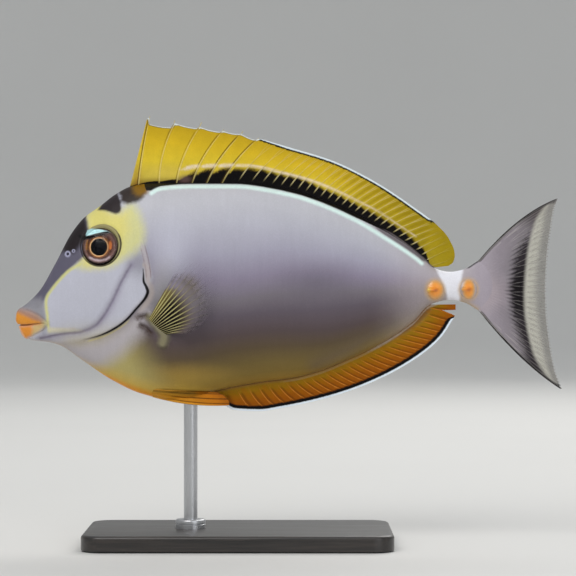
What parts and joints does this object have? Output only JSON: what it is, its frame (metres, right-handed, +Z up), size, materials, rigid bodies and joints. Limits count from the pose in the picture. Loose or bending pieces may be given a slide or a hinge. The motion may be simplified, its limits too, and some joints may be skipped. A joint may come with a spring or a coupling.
{
  "type": "blonde naso tang display model",
  "caption": "Still life-size model of a blonde naso tang (Naso elegans), a deep, flat-sided reef fish held level on a rod above a flat base.",
  "frame": {"origin": "middle of the length and width of the whole model, at the underside of the stand's base", "axes": "+X runs from the snout to the tail, +Y to the fish's right side, +Z up"},
  "size_m": [0.2, 0.064, 0.1571],
  "materials": {
    "skin": "satin, fine rough scales",
    "lips": "satin",
    "eye": "wet gloss",
    "dorsal_fin": "satin, ribbed by rays",
    "anal_fin": "satin, ribbed by rays",
    "tail_fin": "satin, ribbed by rays",
    "pectoral_fin": "clear web between rays",
    "pelvic_fin": "satin, ribbed by rays",
    "tail_plate": "smooth bone",
    "stand_base": "black stain, satin",
    "stand_steel": "brushed"
  },
  "bodies": {
    "root": {"head": "skin", "gill_cover_left": "skin", "gill_cover_right": "skin", "trunk": "skin", "tail_stalk": "skin", "upper_lip": "lips", "lower_lip": "lips", "eye_left": "eye", "eye_right": "eye", "dorsal_fin_front": "dorsal_fin", "dorsal_fin_rear": "dorsal_fin", "anal_fin": "anal_fin", "tail_fin": "tail_fin", "pectoral_fin_left": "pectoral_fin", "pectoral_fin_right": "pectoral_fin", "pelvic_fin_left": "pelvic_fin", "pelvic_fin_right": "pelvic_fin", "tail_plate_front_left": "tail_plate", "tail_plate_front_right": "tail_plate", "tail_plate_rear_left": "tail_plate", "tail_plate_rear_right": "tail_plate", "stand_base": "stand_base", "stand_rod": "stand_steel", "stand_collar": "stand_steel"}
  },
  "joints": []
}
